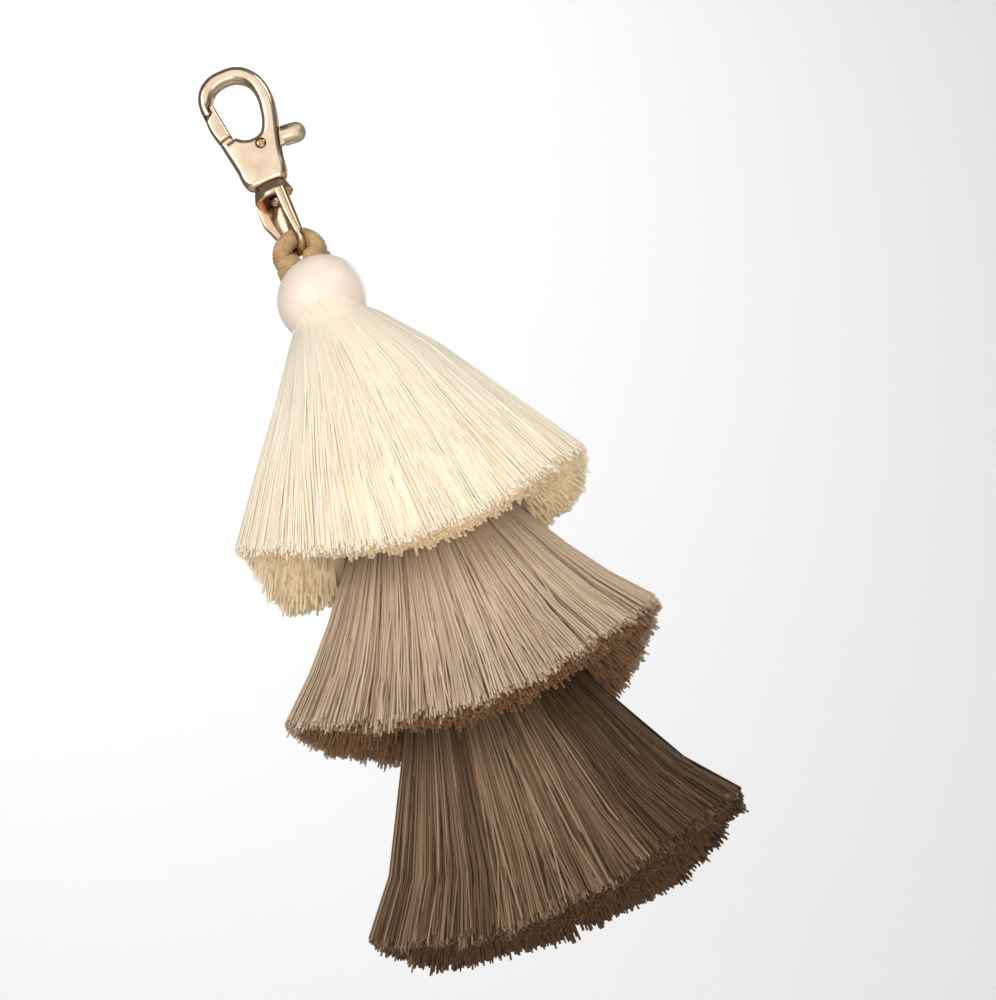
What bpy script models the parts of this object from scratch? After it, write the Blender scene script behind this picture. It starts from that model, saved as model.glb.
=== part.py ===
"""Three-tier tassel charm on a swivel snap hook.

A snap hook turns on a stirrup eye. A wrapped cord loop hangs in the eye, and its two legs run down
through a round bead and through the necks of three fringe tiers. Metres, +Z up. The origin is the
inside of the hook's top, where the charm hangs, and the picture plane is XZ.
"""

import math
import random

import bmesh
import bpy
from mathutils import Matrix, Vector
from mathutils.geometry import interpolate_bezier

MM = 0.001
GAP = 0.3 * MM  # running clearance between two pieces

# Snap hook
HOOK_THICKNESS = 4.0 * MM
HOOK_EDGE_ROUND = 1.1 * MM
HOOK_BOTTOM = -22.2 * MM
SLOT_WIDTH = 2.3 * MM  # the gap between the cheeks, in which the gate turns
CLASP_X = -0.5 * MM  # how far the outlines below stand to the side of the swivel's line
RIVET_X, RIVET_Z = 1.05 * MM, -14.2 * MM
RIVET_RADIUS = 1.0 * MM
RIVET_HEAD_PROUD = 0.35 * MM

# Gate, a lever with the closing bar at one end and the thumb knob at the other
GATE_THICKNESS = SLOT_WIDTH - 2 * GAP
BAR_THICKNESS = 3.4 * MM
KNOB_RADIUS = 2.05 * MM
KNOB_START = Vector((6.1 * MM, 0.0, -14.1 * MM))
KNOB_END = Vector((8.05 * MM, 0.0, -14.3 * MM))

# Swivel: a peened stem under the hook, and the stirrup eye that it carries
STEM_RADIUS = 1.1 * MM
STEM_HEAD_RADIUS = 1.7 * MM
STEM_HEAD_HEIGHT = 1.3 * MM
EYE_TURN = math.radians(-66)  # the eye stands half edge on to the hook, its near arm to the right
EYE_PLATE_RADIUS = 3.4 * MM
EYE_PLATE_HEIGHT = 2.7 * MM
EYE_WIRE_RADIUS = 0.85 * MM
EYE_WIDENING = 0.75  # how much wider than thick the bow's arms are, beyond its round foot
EYE_HALF_WIDTH = 3.3 * MM  # to the wire's centre
EYE_BOTTOM = -36.9 * MM  # the wire's centre at the foot of the eye

# Hanging loop
CORD_RADIUS = 1.75 * MM
LEG_X = 3.65 * MM
LOOP_CENTRE_Z = EYE_BOTTOM + EYE_WIRE_RADIUS + GAP + CORD_RADIUS - LEG_X
LEG_END_Z = -109.2 * MM

# Bead and fringe necks
BEAD_RADIUS = 8.6 * MM
BEAD_Z = -47.6 * MM
NECK_BORE = LEG_X + CORD_RADIUS + 0.35 * MM
NECK_RADIUS = 7.7 * MM
NECK_SIDES = 36
LOCK_FILL = 0.66  # how much of its pitch a lock fills
LOCK_LARGEST = 3.1 * MM  # the side of the widest lock
LOCK_KNOTS = 5

# One row for each tier, in millimetres and degrees. top, foot: the neck's ends. root_z: the first row of
# roots. width, depth: half the hem's width and depth. side, front: the hem's height at its sides and its
# front. skew: how much lower it is at +X, and higher at -X. lift, twist: how much higher it is at the back,
# and how much higher again there towards +X. sway: how far the hem hangs to +X. inner: the hem's height at
# the innermost row. fan, flare: how far from straight down the outer locks leave the neck and end.
TIERS = {
    "fringe_cream": dict(
        top=-53.0, foot=-61.7, root_z=-55.4, width=36.4, depth=33.6, side=-94.0, front=-103.6,
        skew=2.8, lift=-3.2, twist=1.8, sway=0.8, inner=-98.0, fan=50, flare=31,
    ),
    "fringe_beige": dict(
        top=-82.4, foot=-90.3, root_z=-84.0, width=37.8, depth=34.0, side=-126.8, front=-136.0,
        skew=2.4, lift=-2.0, twist=0.4, sway=0.4, inner=-129.0, fan=37, flare=33,
    ),
    "fringe_taupe": dict(
        top=-106.8, foot=-114.0, root_z=-113.2, width=38.8, depth=35.0, side=-168.0, front=-175.2,
        skew=0.6, lift=-0.6, twist=1.4, sway=0.1, inner=-178.0, fan=27, flare=38,
    ),
}

# The rows of locks in a tier, from the outside in. share: the row's radius at the hem, as a share of
# the hem's. drop: how far below root_z its roots are, and root_radius how far from the axis, both in mm.
ROWS = {
    "fringe_cream": [
        dict(locks=33, share=0.93, drop=0.0, root_radius=6.75),
        dict(locks=28, share=0.75, drop=2.2, root_radius=6.75),
        dict(locks=22, share=0.57, drop=4.6, root_radius=6.6),
    ],
    "fringe_beige": [
        dict(locks=33, share=0.93, drop=0.0, root_radius=6.75),
        dict(locks=26, share=0.73, drop=4.1, root_radius=6.6),
    ],
    "fringe_taupe": [
        dict(locks=35, share=0.94, drop=0.0, root_radius=7.0),
        dict(locks=28, share=0.77, drop=0.0, root_radius=5.6),
        dict(locks=21, share=0.59, drop=0.0, root_radius=4.2),
        dict(locks=14, share=0.40, drop=0.0, root_radius=2.8),
        dict(locks=7, share=0.20, drop=0.0, root_radius=1.4),
    ],
}

# Colour, roughness and metallic value of each material
FINISHES = {
    "gold_metal": ((0.80, 0.60, 0.42), 0.22, 1.0),
    "loop_cord": ((0.48, 0.32, 0.16), 0.85, 0.0),
    "bead": ((0.90, 0.84, 0.76), 0.35, 0.0),
    "cream_yarn": ((0.90, 0.82, 0.66), 0.75, 0.0),
    "beige_yarn": ((0.52, 0.39, 0.28), 0.75, 0.0),
    "taupe_yarn": ((0.28, 0.21, 0.15), 0.75, 0.0),
}

# The hook's outline in millimetres, x and z, clockwise from the nose's outer corner. True: a corner.
HOOK_OUTLINE = [
    (-6.55, -5.1, True), (-6.65, -2.6, False), (-5.7, 0.3, False), (-3.5, 2.3, False),
    (-0.4, 3.0, False), (2.8, 2.5, False), (5.3, 0.6, False), (6.8, -2.3, False),
    (7.25, -5.8, False), (6.6, -9.8, False), (5.6, -13.4, False), (4.6, -17.2, False),
    (3.5, -21.4, False), (2.7, -22.2, True), (-2.9, -22.2, True), (-3.9, -21.4, False),
    (-4.8, -17.2, False), (-5.5, -13.4, False), (-5.8, -11.6, True), (-2.6, -10.95, True),
    (-1.2, -12.0, False), (0.5, -12.35, False), (2.1, -11.9, False), (3.2, -10.3, False),
    (3.95, -7.4, False), (4.15, -4.6, False), (3.5, -2.1, False), (1.9, -0.5, False),
    (-0.4, 0.0, False), (-2.6, -0.5, False), (-3.8, -1.5, False), (-4.25, -2.35, True),
]

# The lever's outline, from the bar's tip down its outer edge, past the hub to the knob, and back.
GATE_OUTLINE = [
    (-6.5, -5.6, True), (-6.5, -7.4, False), (-6.1, -9.9, False), (-5.4, -12.4, False),
    (-3.6, -14.2, False), (-1.0, -15.6, False), (1.5, -16.5, False), (3.9, -15.9, False),
    (6.6, -15.6, True), (6.6, -12.7, True), (4.0, -12.75, False), (1.4, -12.75, False),
    (-1.6, -12.6, False), (-3.1, -10.6, False), (-3.55, -7.8, False), (-4.0, -4.6, False),
    (-4.2, -2.9, True),
]

# The bar's part that stands outside the cheeks, as thick as the hook's arm.
BAR_OUTLINE = [
    (-6.5, -5.6, True), (-6.5, -7.4, False), (-6.15, -9.6, False), (-5.85, -10.95, True),
    (-3.2, -10.3, True), (-3.55, -7.8, False), (-4.0, -4.6, False), (-4.2, -2.9, True),
]

# The slot between the cheeks, wide enough for the lever from shut to open.
SLOT_OUTLINE = [
    (-9.0, -9.0, True), (1.4, -9.0, True), (2.9, -12.45, True), (9.0, -12.45, True),
    (9.0, -20.4, True), (3.6, -19.2, True), (0.4, -17.3, True), (-9.0, -15.0, True),
]


def start_scene():
    """Empties the scene and makes the collections for the part and for its cutters."""
    for thing in list(bpy.data.objects):
        bpy.data.objects.remove(thing)
    made = []
    for name in ("tassel_charm", "cutters"):
        collection = bpy.data.collections.new(name)
        bpy.context.scene.collection.children.link(collection)
        made.append(collection)
    return made


def make_material(name, colour, roughness, metallic):
    material = bpy.data.materials.new(name)
    material.use_nodes = True
    shader = material.node_tree.nodes["Principled BSDF"]
    shader.inputs["Base Color"].default_value = (*colour, 1.0)
    shader.inputs["Roughness"].default_value = roughness
    shader.inputs["Metallic"].default_value = metallic
    return material


PART, CUTTERS = start_scene()
MATERIALS = {name: make_material(name, *finish) for name, finish in FINISHES.items()}


def new_object(name, data, collection=PART):
    thing = bpy.data.objects.new(name, data)
    collection.objects.link(thing)
    return thing


def finish(thing, material):
    """Gives a piece its material and smooth shading with sharp edges kept."""
    thing.data.materials.clear()
    thing.data.materials.append(MATERIALS[material])
    thing.data.shade_smooth()
    thing.data.set_sharp_from_angle(angle=math.radians(35))
    return thing


def as_mesh(curve_object):
    """A welded mesh object in place of a curve object."""
    graph = bpy.context.evaluated_depsgraph_get()
    mesh = bpy.data.meshes.new_from_object(curve_object.evaluated_get(graph))
    mesh.transform(curve_object.matrix_world)
    name, collection = curve_object.name, curve_object.users_collection[0]
    bpy.data.objects.remove(curve_object)
    welded = bmesh.new()
    welded.from_mesh(mesh)
    bmesh.ops.remove_doubles(welded, verts=welded.verts, dist=0.002 * MM)
    bmesh.ops.recalc_face_normals(welded, faces=welded.faces)
    welded.to_mesh(mesh)
    welded.free()
    return new_object(name, mesh, collection)


def combine(target, other, operation):
    """Joins other to target, or cuts it away, and applies the result."""
    boolean = target.modifiers.new(operation, "BOOLEAN")
    boolean.operation = operation
    boolean.object = other
    bpy.context.view_layer.update()
    graph = bpy.context.evaluated_depsgraph_get()
    mesh = bpy.data.meshes.new_from_object(target.evaluated_get(graph))
    target.modifiers.clear()
    target.data = mesh
    bpy.data.objects.remove(other)
    return target


def flat_plate(name, outline, thickness, edge_round, collection=PART, steps=3):
    """A plate in the XZ plane, centred on y = 0, cut to a smooth outline in millimetres."""
    curve = bpy.data.curves.new(name, "CURVE")
    curve.dimensions = "2D"
    curve.fill_mode = "BOTH"
    curve.resolution_u = steps
    curve.extrude = thickness / 2 - edge_round
    curve.bevel_depth = edge_round
    curve.bevel_resolution = 1
    curve.offset = -edge_round
    spline = curve.splines.new("BEZIER")
    spline.bezier_points.add(len(outline) - 1)
    spline.use_cyclic_u = True
    for point, (x, z, corner) in zip(spline.bezier_points, outline):
        point.co = (CLASP_X + x * MM, z * MM, 0.0)
        kind = "VECTOR" if corner else "AUTO"
        point.handle_left_type = point.handle_right_type = kind
    plate = new_object(name, curve, collection)
    plate.rotation_euler = (math.radians(90), 0.0, 0.0)
    bpy.context.view_layer.update()
    return as_mesh(plate)


def cylinder(name, radius, depth, location, rotation=(0.0, 0.0, 0.0), sides=24, collection=CUTTERS):
    """A round bar, along Z before it is turned."""
    mesh = bpy.data.meshes.new(name)
    shape = bmesh.new()
    bmesh.ops.create_cone(
        shape, cap_ends=True, segments=sides, radius1=radius, radius2=radius, depth=depth
    )
    shape.transform(Matrix.Translation(location) @ Matrix.LocRotScale(None, _turn(rotation), None))
    shape.to_mesh(mesh)
    shape.free()
    return new_object(name, mesh, collection)


def _turn(rotation):
    return Matrix.Rotation(rotation[2], 3, "Z") @ Matrix.Rotation(rotation[0], 3, "X")


def turned(name, profile, sides, closed, collection=PART):
    """A turned shape. The profile in millimetres (radius, z) runs down its outer side."""
    mesh = bpy.data.meshes.new(name)
    line = bmesh.new()
    verts = [line.verts.new((radius * MM, 0.0, z * MM)) for radius, z in profile]
    ends = verts[1:] + verts[:1] if closed else verts[1:]
    for first, second in zip(verts, ends):
        line.edges.new((first, second))
    line.to_mesh(mesh)
    line.free()
    thing = new_object(name, mesh, collection)
    screw = thing.modifiers.new("Turn", "SCREW")
    screw.steps = screw.render_steps = sides
    screw.use_merge_vertices = True
    screw.merge_threshold = 0.01 * MM
    return as_mesh(thing)


def round_bar(name, points, radius, sides_level, closed=False, collection=PART):
    """A round bar or cord along the points."""
    curve = bpy.data.curves.new(name, "CURVE")
    curve.dimensions = "3D"
    curve.bevel_depth = radius
    curve.bevel_resolution = sides_level
    curve.use_fill_caps = True
    spline = curve.splines.new("POLY")
    spline.points.add(len(points) - 1)
    spline.use_cyclic_u = closed
    for point, place in zip(spline.points, points):
        point.co = (*place, 1.0)
    return as_mesh(new_object(name, curve, collection))


def make_hook():
    """The cast hook: outline, slot between the cheeks, rivet bore, and the peened swivel stem."""
    hook = flat_plate("hook", HOOK_OUTLINE, HOOK_THICKNESS, HOOK_EDGE_ROUND)
    slot = flat_plate("slot", SLOT_OUTLINE, SLOT_WIDTH, 0.0, CUTTERS, steps=1)
    combine(hook, slot, "DIFFERENCE")
    across = (math.radians(90), 0.0, 0.0)
    rivet_place = Vector((RIVET_X, 0.0, RIVET_Z))
    bore = cylinder("rivet_bore", RIVET_RADIUS + GAP, 2 * HOOK_THICKNESS, rivet_place, across)
    combine(hook, bore, "DIFFERENCE")
    head_top = HOOK_BOTTOM - EYE_PLATE_HEIGHT - 2 * GAP
    stem_depth = 1.5 * MM + HOOK_BOTTOM - head_top + 0.5 * MM
    stem_middle = Vector((0.0, 0.0, HOOK_BOTTOM + 1.5 * MM - stem_depth / 2))
    combine(hook, cylinder("stem", STEM_RADIUS, stem_depth, stem_middle), "UNION")
    top, edge = head_top / MM, STEM_HEAD_RADIUS / MM
    foot = top - STEM_HEAD_HEIGHT / MM
    profile = [(0.0, top), (edge, top), (edge, top - 0.4), (0.62 * edge, foot + 0.15), (0.0, foot)]
    combine(hook, turned("stem_head", profile, 24, False, CUTTERS), "UNION")
    return finish(hook, "gold_metal")


def make_rivet():
    """The pin on which the gate turns, its ends a little proud of the cheeks."""
    half = (HOOK_THICKNESS / 2 + RIVET_HEAD_PROUD) / MM
    radius = RIVET_RADIUS / MM
    profile = [(0.0, half), (0.7 * radius, half - 0.08), (radius, half - 0.3)]
    profile += [(r, -z) for r, z in reversed(profile)]
    rivet = turned("rivet", profile, 24, False)
    rivet.data.transform(Matrix.Rotation(math.radians(90), 4, "X"))
    rivet.data.transform(Matrix.Translation((RIVET_X, 0.0, RIVET_Z)))
    return finish(rivet, "gold_metal")


def make_gate():
    """The lever: closing bar, hub on the rivet, and the thumb knob beyond the cheeks."""
    gate = flat_plate("gate", GATE_OUTLINE, GATE_THICKNESS, 0.25 * MM)
    combine(gate, flat_plate("bar", BAR_OUTLINE, BAR_THICKNESS, 0.8 * MM, CUTTERS), "UNION")
    reach = KNOB_END - KNOB_START
    ring = [KNOB_START + reach * share for share in (0.0, 0.5, 1.0)]
    knob = round_bar("knob", ring, KNOB_RADIUS, 4, collection=CUTTERS)
    knob_tip = bpy.data.meshes.new("knob_tip")
    ball = bmesh.new()
    bmesh.ops.create_uvsphere(ball, u_segments=20, v_segments=12, radius=KNOB_RADIUS * 0.999)
    bmesh.ops.rotate(ball, verts=ball.verts, matrix=Matrix.Rotation(math.radians(90), 3, "Y"))
    bmesh.ops.translate(ball, verts=ball.verts, vec=KNOB_END)
    ball.to_mesh(knob_tip)
    ball.free()
    combine(knob, new_object("knob_tip", knob_tip, CUTTERS), "UNION")
    combine(gate, knob, "UNION")
    across = (math.radians(90), 0.0, 0.0)
    rivet_place = Vector((RIVET_X, 0.0, RIVET_Z))
    bore = cylinder("hub_bore", RIVET_RADIUS + GAP, 2 * HOOK_THICKNESS, rivet_place, across)
    combine(gate, bore, "DIFFERENCE")
    return finish(gate, "gold_metal")


def make_eye():
    """The stirrup eye: a bored plate under the hook, and a wire bow for the cord loop."""
    plate_top = HOOK_BOTTOM - GAP
    plate_foot = plate_top - EYE_PLATE_HEIGHT
    bend_z = EYE_BOTTOM + EYE_HALF_WIDTH
    arm_top = plate_foot + EYE_WIRE_RADIUS
    bow = [Vector((EYE_HALF_WIDTH, 0.0, arm_top))]
    for step in range(13):
        angle = math.pi * step / 12
        across = EYE_HALF_WIDTH * math.cos(angle)
        bow.append(Vector((across, 0.0, bend_z - EYE_HALF_WIDTH * math.sin(angle))))
    bow.append(Vector((-EYE_HALF_WIDTH, 0.0, arm_top)))
    eye = round_bar("swivel_eye", bow, EYE_WIRE_RADIUS, 2)
    for vert in eye.data.vertices:
        rise = (vert.co.z - EYE_BOTTOM - EYE_WIRE_RADIUS) / (6.0 * MM)
        vert.co.y *= 1.0 + EYE_WIDENING * max(0.0, min(1.0, rise))
    top, foot, edge = plate_top / MM, plate_foot / MM, EYE_PLATE_RADIUS / MM
    profile = [(0.0, top), (edge - 0.5, top), (edge, top - 0.5), (edge + 0.5, foot + 0.7)]
    profile += [(edge + 0.2, foot), (0.0, foot)]
    combine(eye, turned("plate", profile, 28, False, CUTTERS), "UNION")
    middle = Vector((0.0, 0.0, (plate_top + plate_foot) / 2))
    bore = cylinder("stem_bore", STEM_RADIUS + GAP, 2 * EYE_PLATE_HEIGHT, middle)
    combine(eye, bore, "DIFFERENCE")
    eye.data.transform(Matrix.Rotation(EYE_TURN, 4, "Z"))
    return finish(eye, "gold_metal")


def make_loop():
    """The wrapped cord: an arch through the eye, and two straight legs down to the last tier."""
    route = [Vector((-LEG_X, 0.0, z)) for z in (LEG_END_Z, -85 * MM, -60 * MM)]
    for step in range(15):
        angle = math.pi * step / 14
        x, rise = -LEG_X * math.cos(angle), LEG_X * math.sin(angle)
        route.append(Vector((x, 0.0, LOOP_CENTRE_Z + rise)))
    route += [Vector((LEG_X, 0.0, z)) for z in (-60 * MM, -85 * MM, LEG_END_Z)]
    return finish(round_bar("hanging_loop", route, CORD_RADIUS, 3), "loop_cord")


def make_bead():
    """The round bead, with one bore for each leg of the loop."""
    mesh = bpy.data.meshes.new("bead")
    ball = bmesh.new()
    bmesh.ops.create_uvsphere(ball, u_segments=32, v_segments=18, radius=BEAD_RADIUS)
    bmesh.ops.translate(ball, verts=ball.verts, vec=(0.0, 0.0, BEAD_Z))
    ball.to_mesh(mesh)
    ball.free()
    bead = new_object("bead", mesh)
    for side in (-1, 1):
        place = Vector((side * LEG_X, 0.0, BEAD_Z))
        bore = cylinder("leg_bore", CORD_RADIUS + GAP, 3 * BEAD_RADIUS, place, sides=20)
        combine(bead, bore, "DIFFERENCE")
    return finish(bead, "bead")


def bead_seat():
    """Profile points, from the bore up, of a seat that clears the bead by GAP."""
    radius = (BEAD_RADIUS + GAP) / MM
    middle, bore = BEAD_Z / MM, NECK_BORE / MM
    seat = []
    for across in (bore, 6.9, 7.8, 8.55):
        seat.append((across, middle - math.sqrt(radius**2 - across**2)))
    return seat


def neck_profile(name):
    """The outline of a tier's neck, into which its locks are fused."""
    top, foot = TIERS[name]["top"], TIERS[name]["foot"]
    outer, bore = NECK_RADIUS / MM, NECK_BORE / MM
    if name == "fringe_cream":
        seat = bead_seat()
        rim = seat[-1][1]
        down = [(8.95, rim), (8.75, rim - 1.9), (8.05, rim - 3.7), (outer, rim - 4.7)]
        return down + [(outer, foot), (bore, foot)] + seat
    down = [(outer - 0.9, top), (outer, top - 0.9), (outer, foot)]
    if name == "fringe_beige":
        return down + [(bore, foot), (bore, top)]
    seat = LEG_END_Z / MM - 0.3
    return [(0.0, seat), (bore, seat), (bore, top)] + down + [(0.0, foot)]


def hem_point(tier, row, azimuth, trim):
    """Where a lock ends: on the hem's oval, lower at the front and back than at the sides."""
    across = row["share"] * tier["width"] * math.sin(azimuth) + tier["sway"]
    deep = -row["share"] * tier["depth"] * math.cos(azimuth)
    outer = tier["front"] + (tier["side"] - tier["front"]) * math.sin(azimuth) ** 2
    outer -= tier["skew"] * math.sin(azimuth)
    behind = max(0.0, -math.cos(azimuth))
    outer += behind * (tier["lift"] + 2 * tier["twist"] * math.sin(azimuth))
    depth_share = max(0.0, min(1.0, (row["share"] - 0.5) / 0.44))
    if tier["inner"] < tier["front"]:
        depth_share = row["share"] ** 2
    height = tier["inner"] + (outer - tier["inner"]) * depth_share
    return Vector((across, deep, height + trim)) * MM


def lock_line(tier, row, azimuth, trim):
    """One lock's centreline: out of the neck at a slope, then over and down to the hem."""
    outward = Vector((math.sin(azimuth), -math.cos(azimuth), 0.0))
    root = outward * row["root_radius"] * MM
    root.z = (tier["root_z"] - row["drop"]) * MM
    end = hem_point(tier, row, azimuth, trim)
    end_outward = Vector((end.x, end.y, 0.0)).normalized()
    length = (end - root).length
    spread = (row["share"] / 0.93) ** 1.3
    fan, flare = math.radians(tier["fan"] * spread), math.radians(tier["flare"] * spread)
    leave = outward * math.sin(fan) - Vector((0.0, 0.0, math.cos(fan)))
    arrive = end_outward * math.sin(flare) - Vector((0.0, 0.0, math.cos(flare)))
    return interpolate_bezier(
        root, root + leave * length * 0.3, end - arrive * length * 0.3, end, LOCK_KNOTS
    )


def make_fringe(name, material, seed):
    """A tier: rows of tapering four-sided locks, fused at their roots into the neck."""
    tier = TIERS[name]
    uneven = random.Random(seed)
    curve = bpy.data.curves.new("locks", "CURVE")
    curve.dimensions = "3D"
    curve.twist_mode = "Z_UP"
    curve.bevel_depth = 1.0
    curve.bevel_resolution = 0
    curve.use_fill_caps = True
    for number, row in enumerate(ROWS[name]):
        for index in range(row["locks"]):
            turn = (index + 0.5 * (number % 2) + uneven.uniform(-0.02, 0.02)) / row["locks"]
            trim = uneven.uniform(-0.7, 0.7)
            line = lock_line(tier, row, 2 * math.pi * turn, trim)
            spline = curve.splines.new("POLY")
            spline.points.add(LOCK_KNOTS - 1)
            for point, place in zip(spline.points, line):
                pitch = 2 * math.pi * Vector((place.x, place.y)).length / row["locks"]
                point.co = (*place, 1.0)
                point.radius = min(LOCK_FILL * pitch, LOCK_LARGEST) / math.sqrt(2)
                point.tilt = math.radians(45)
    locks = as_mesh(new_object("locks", curve, CUTTERS))
    profile = neck_profile(name)
    neck = turned(name, profile, NECK_SIDES, closed=profile[0][0] > 0.0)
    combine(neck, locks, "UNION")
    return finish(neck, material)


def build():
    make_hook()
    make_rivet()
    make_gate()
    make_eye()
    make_loop()
    make_bead()
    make_fringe("fringe_cream", "cream_yarn", 11)
    make_fringe("fringe_beige", "beige_yarn", 12)
    make_fringe("fringe_taupe", "taupe_yarn", 13)


build()
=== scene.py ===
"""The looks of a three-tier tassel charm on a swivel snap hook, built over its fixed frame."""

import math

import bmesh
import bpy
import numpy as np
from mathutils import Matrix, Vector


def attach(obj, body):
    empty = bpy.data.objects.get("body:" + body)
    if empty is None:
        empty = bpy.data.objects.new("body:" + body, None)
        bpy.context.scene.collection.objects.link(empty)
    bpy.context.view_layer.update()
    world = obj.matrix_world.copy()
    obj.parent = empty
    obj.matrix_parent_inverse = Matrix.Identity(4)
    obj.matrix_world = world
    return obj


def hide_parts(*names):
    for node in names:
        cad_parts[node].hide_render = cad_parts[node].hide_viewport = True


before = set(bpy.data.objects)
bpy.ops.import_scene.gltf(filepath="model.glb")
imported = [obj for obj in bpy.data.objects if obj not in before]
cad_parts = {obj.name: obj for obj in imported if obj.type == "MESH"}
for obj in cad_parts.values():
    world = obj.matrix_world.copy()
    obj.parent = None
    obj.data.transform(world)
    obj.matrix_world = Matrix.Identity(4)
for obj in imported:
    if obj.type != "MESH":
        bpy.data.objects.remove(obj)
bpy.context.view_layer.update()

MM = 0.001

# Camera: in front of the charm and below it, rolled so that the charm hangs across the picture
CAMERA_TARGET = Vector((16.4, 0.0, -97.4)) * MM
CAMERA_RISE = math.radians(-11.3)
CAMERA_ROLL = math.radians(23.0)
CAMERA_DISTANCE = 600 * MM
CAMERA_LENS = 113.7

# Snap hook, in millimetres. An outline's point is its x, its z and whether it is a sharp corner.
HOOK_THICKNESS, HOOK_ROUND = 4.0, 1.25
HOOK_BOTTOM = -22.2
SLOT_WIDTH = 2.3
LEVER_THICKNESS, LEVER_ROUND = SLOT_WIDTH - 0.6, 0.25
BAR_THICKNESS, BAR_ROUND = 3.4, 0.85
RIVET_X, RIVET_Z, RIVET_RADIUS, RIVET_PLAY = 1.05, -14.2, 1.0, 0.12
RIVET_PROUD = 0.35  # how far each end of the rivet stands out of the hook
KNOB_ROUTE = [(5.5, 0.0, -14.05), (6.8, 0.0, -14.15), (8.05, 0.0, -14.3)]
KNOB_RADIUS = 2.05
SATIN_FROM, SATIN_TO = 6.8, 7.6  # where the polish gives way to the knob's satin, along X
STEM_RADIUS = 1.1
CLASP_X = -0.5  # how far the outlines stand to the side of the swivel's line
HOOK_OUTLINE = [
    (-6.85, -5.1, True), (-6.95, -2.6, False), (-6.0, 0.4, False), (-3.7, 2.4, False),
    (-0.4, 3.0, False), (2.8, 2.5, False), (5.3, 0.6, False), (6.8, -2.3, False),
    (7.25, -5.8, False), (6.6, -9.8, False), (5.6, -13.4, False), (4.7, -17.2, False),
    (3.9, -21.4, False), (3.1, -22.2, True), (-3.3, -22.2, True), (-4.3, -21.4, False),
    (-5.0, -17.2, False), (-5.7, -13.4, False), (-6.0, -11.6, True), (-2.6, -10.95, True),
    (-1.2, -12.0, False), (0.5, -12.35, False), (2.1, -11.9, False), (3.2, -10.3, False),
    (3.95, -7.4, False), (4.15, -4.6, False), (3.5, -2.1, False), (1.9, -0.5, False),
    (-0.4, 0.0, False), (-2.6, -0.5, False), (-3.8, -1.5, False), (-4.25, -2.35, True),
]
LEVER_OUTLINE = [
    (-5.8, -6.4, True), (-5.9, -7.6, False), (-5.7, -9.9, False), (-5.2, -12.4, False),
    (-3.6, -14.2, False), (-1.0, -15.6, False), (1.5, -16.5, False), (3.9, -15.9, False),
    (6.6, -15.6, True), (6.6, -12.7, True), (4.0, -12.75, False), (1.4, -12.75, False),
    (-1.6, -12.6, False), (-3.4, -10.6, False), (-4.15, -7.8, False), (-4.6, -5.0, True),
]
BAR_OUTLINE = [
    (-6.8, -5.6, True), (-6.8, -7.4, False), (-6.4, -9.6, False), (-6.0, -10.95, True),
    (-3.2, -10.3, True), (-3.55, -7.8, False), (-4.0, -4.6, False), (-4.2, -2.9, True),
]
SLOT_OUTLINE = [
    (-9.0, -9.0, True), (1.4, -9.0, True), (2.9, -12.45, True), (9.0, -12.45, True),
    (9.0, -20.4, True), (3.6, -19.2, True), (0.4, -17.3, True), (-9.0, -15.0, True),
]

# Eye, in millimetres. Its strap at the back is broader than the one at the front, and it hangs at a slant.
EYE_TURN = math.radians(-66)
EYE_BOTTOM, EYE_HALF_WIDTH, EYE_WIRE = -36.9, 3.3, 0.85
EYE_PLATE_TOP, EYE_PLATE_FOOT = -22.5, -25.2
EYE_BORE = 1.4
BOW_STEPS = 32
STRAP_RISE = 7.0  # the height over which the round foot of the bow becomes two straps
FRONT_STRAP, BACK_STRAP = 0.5, 2.4  # how much broader than the wire each strap is
EYE_SWAY, EYE_SWAY_RISE = 0.95, 8.0  # how far the eye's top leans to -X, and over what height

# Loop and bead, in millimetres. The loop is a round arch of the radius LEG_X with two straight legs.
CORD_RADIUS, LEG_X, LEG_END_Z = 1.75, 3.65, -109.2
LOOP_PLAY = 0.3  # the gap between the eye's foot and the arch over it
LOOP_CENTRE_Z = EYE_BOTTOM + EYE_WIRE + LOOP_PLAY + CORD_RADIUS - LEG_X
LOOP_SWAY = 0.3  # how far the loop's wound part hangs to -X
THREAD_PITCH = 0.52
THREAD_RIDGE = [(0.0, 0.0), (0.28, 0.12), (0.5, 0.15), (0.72, 0.12)]  # share of a turn, and its lift there
LEG_SWELL, LEG_SWELL_DROP = 0.9, 1.9  # how much the legs swell towards each other, and over what height
LEG_HIDDEN_Z = -60.0  # below this height the legs run straight down, unseen
BEAD_RADIUS, BEAD_Z = 8.6, -47.6
BEAD_SHIFT_X, BEAD_SHIFT_Z = 0.3, 0.2
BEAD_STRETCH, BEAD_TILT = (1.03, 1.0, 0.985), math.radians(-18)  # it is slightly oval
BEAD_BORE_X, BEAD_BORE_RADIUS = LEG_X - 0.85, CORD_RADIUS + 1.0

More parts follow.
